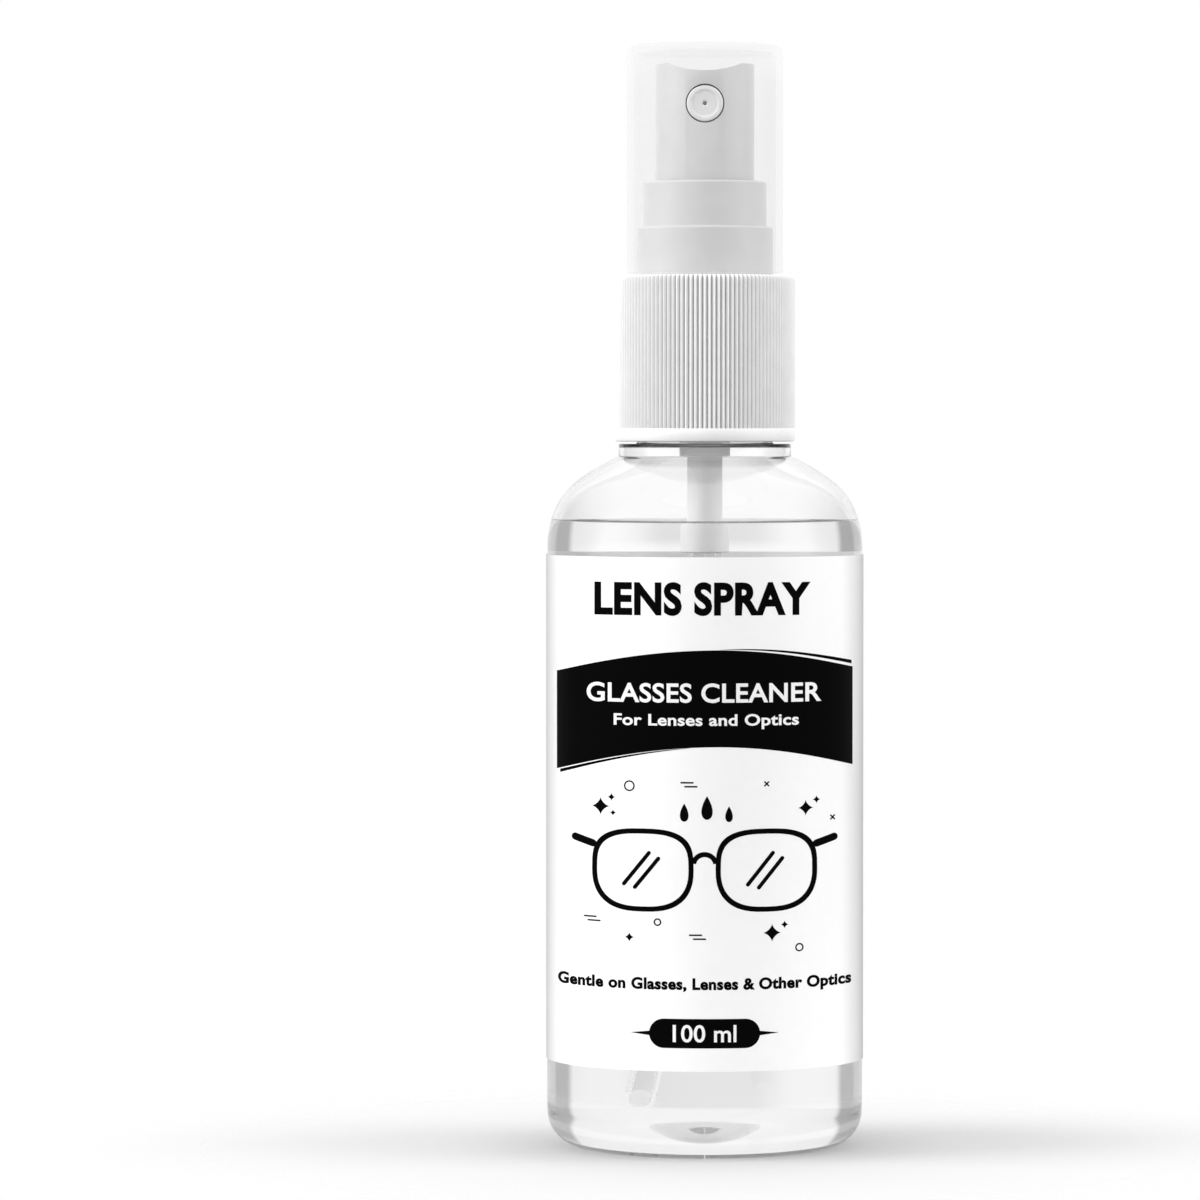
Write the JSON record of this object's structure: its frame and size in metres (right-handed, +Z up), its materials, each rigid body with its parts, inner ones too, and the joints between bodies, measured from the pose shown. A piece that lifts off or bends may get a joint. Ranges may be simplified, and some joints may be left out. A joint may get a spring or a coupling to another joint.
{
  "type": "lens cleaning spray",
  "caption": "Clear round bottle of lens cleaning fluid with a wrap-round label, a screw-on fine-mist finger pump and a clear pull-off overcap.",
  "frame": {"origin": "centre of the bottle's base, in the plane that it stands on", "axes": "+Z up along the bottle's axis, the nozzle faces -Y, the label's seam is at +Y"},
  "size_m": [0.0412, 0.0412, 0.1431],
  "materials": {
    "clear_pet": "polished",
    "cleaning_fluid": "polished",
    "label_film": "satin",
    "label_ink": "satin",
    "white_polypropylene": "satin",
    "grey_polypropylene": "satin",
    "natural_polymer": "satin",
    "soft_polymer": "satin",
    "stainless_steel": "gloss",
    "clear_cap": "polished"
  },
  "bodies": {
    "bottle": {"bottle": "clear_pet", "label": "label_film", "cleaning_fluid": "cleaning_fluid"},
    "pump": {"neck_gasket": "soft_polymer", "housing": "natural_polymer", "housing_plug": "natural_polymer", "turret": "grey_polypropylene", "dip_tube": "soft_polymer", "return_spring": "stainless_steel"},
    "inlet_ball": {"inlet_ball": "stainless_steel"},
    "plunger": {"stem": "natural_polymer", "piston": "soft_polymer"},
    "head": {"actuator": "grey_polypropylene", "nozzle_insert": "natural_polymer"},
    "closure": {"closure": "white_polypropylene"},
    "overcap": {"overcap": "clear_cap"}
  },
  "joints": [
    {"name": "pump_rise", "type": "slide", "parent": "bottle", "child": "pump", "axis": [0, 0, 1], "range_m": [0, 0.00476]},
    {"name": "closure_turn", "type": "hinge", "parent": "pump", "child": "closure", "pos_m": [0, 0, 0.1], "axis": [0, 0, 1], "range_deg": [0, 540]},
    {"name": "actuator_press", "type": "slide", "parent": "pump", "child": "plunger", "axis": [0, 0, -1], "range_m": [0, 0.0045], "stiffness_N_per_m": 1500, "springref_m": -0.004, "deforming": ["return_spring"]},
    {"name": "head_turn", "type": "hinge", "parent": "plunger", "child": "head", "pos_m": [0, 0, 0.13], "axis": [0, 0, 1], "continuous": true},
    {"name": "inlet_ball_lift", "type": "slide", "parent": "pump", "child": "inlet_ball", "axis": [0, 0, 1], "range_m": [0, 0.0008]},
    {"name": "overcap_pull", "type": "slide", "parent": "pump", "child": "overcap", "axis": [0, 0, 1], "range_m": [0, 0.04]}
  ],
  "couplings": [
    {"joint": "closure_turn", "follows": "pump_rise", "rad_per_m": 1979}
  ]
}
